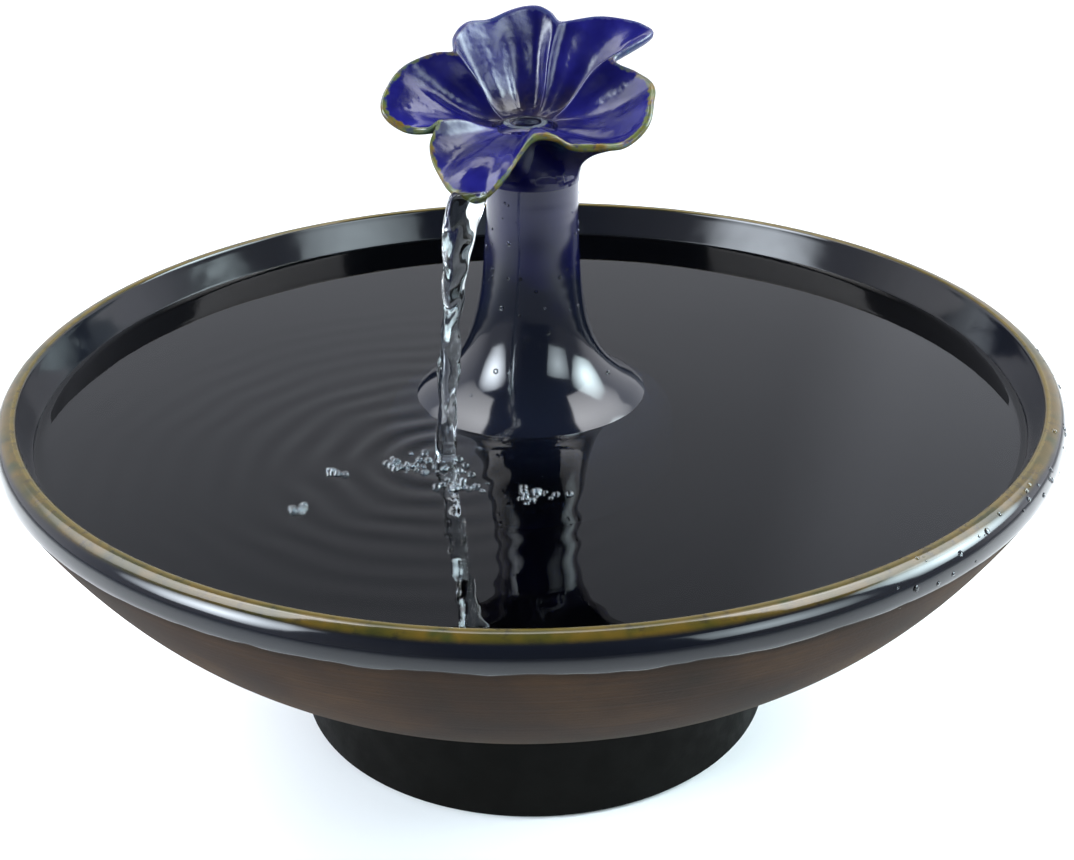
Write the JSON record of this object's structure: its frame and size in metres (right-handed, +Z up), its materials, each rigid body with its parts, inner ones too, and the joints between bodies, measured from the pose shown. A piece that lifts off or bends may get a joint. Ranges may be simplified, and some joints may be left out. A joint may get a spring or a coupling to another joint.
{
  "type": "tabletop flower fountain with submersible pump",
  "caption": "Stoneware bowl fountain on a ring stand: a flower-topped bell column hides a small submersible pump that lifts water to the petals.",
  "frame": {"origin": "the middle of the stand underside, on the bowl axis, on the surface that it stands on", "axes": "+Z up, -Y towards the front, where the water pours, +X to the right"},
  "size_m": [0.325, 0.325, 0.2178],
  "materials": {
    "stand_black": "matt black",
    "rubber_black": "matt",
    "bowl_glaze": "gloss midnight glaze inside and on the rim, bare brown stoneware underneath",
    "column_glaze": "gloss midnight glaze",
    "flower_glaze": "gloss cobalt glaze with an olive and amber edge",
    "clear_vinyl": "clear flexible tube",
    "pump_black": "moulded, fine texture",
    "dial_grey": "moulded",
    "core_steel": "stacked sheets",
    "bobbin_white": "moulded",
    "coil_copper": "enamelled copper wire",
    "resin_black": "cast epoxy",
    "impeller_white": "moulded",
    "magnet_ferrite": "sintered ferrite",
    "shaft_ceramic": "ground alumina",
    "water": "clear fresh water, for the pool, the stream and the bubbles",
    "foam_black": "open-cell foam"
  },
  "bodies": {
    "stand": {"stand_ring": "stand_black", "grip_ring": "rubber_black", "bowl_cushion": "rubber_black"},
    "bowl": {"bowl": "bowl_glaze", "motor_housing": "pump_black", "stator_core": "core_steel", "coil_bobbin": "bobbin_white", "copper_coil": "coil_copper", "potting_resin": "resin_black", "cable_gland": "rubber_black", "rotor_shaft": "shaft_ceramic", "rear_bush": "rubber_black", "front_bush": "rubber_black", "volute_seal": "rubber_black", "volute_cover": "pump_black", "intake_cover": "pump_black", "intake_foam": "foam_black", "suction_cups": "rubber_black"},
    "column": {"bell_column": "column_glaze", "flower_head": "flower_glaze", "riser_tube": "clear_vinyl", "tube_sleeves": "rubber_black"},
    "rotor": {"impeller": "impeller_white", "rotor_magnet": "magnet_ferrite"},
    "dial": {"flow_dial": "dial_grey"}
  },
  "joints": [
    {"name": "bowl_lift", "type": "slide", "parent": "stand", "child": "bowl", "axis": [0, 0, 1], "range_m": [0, 0.06]},
    {"name": "column_lift", "type": "slide", "parent": "bowl", "child": "column", "axis": [0, 0, 1], "range_m": [0, 0.1]},
    {"name": "rotor_spin", "type": "hinge", "parent": "bowl", "child": "rotor", "pos_m": [0, 0, 0.072], "axis": [0, -1, 0], "continuous": true},
    {"name": "dial_turn", "type": "hinge", "parent": "bowl", "child": "dial", "pos_m": [0, -0.0196, 0.074], "axis": [0, -1, 0], "range_deg": [0, 36]}
  ]
}
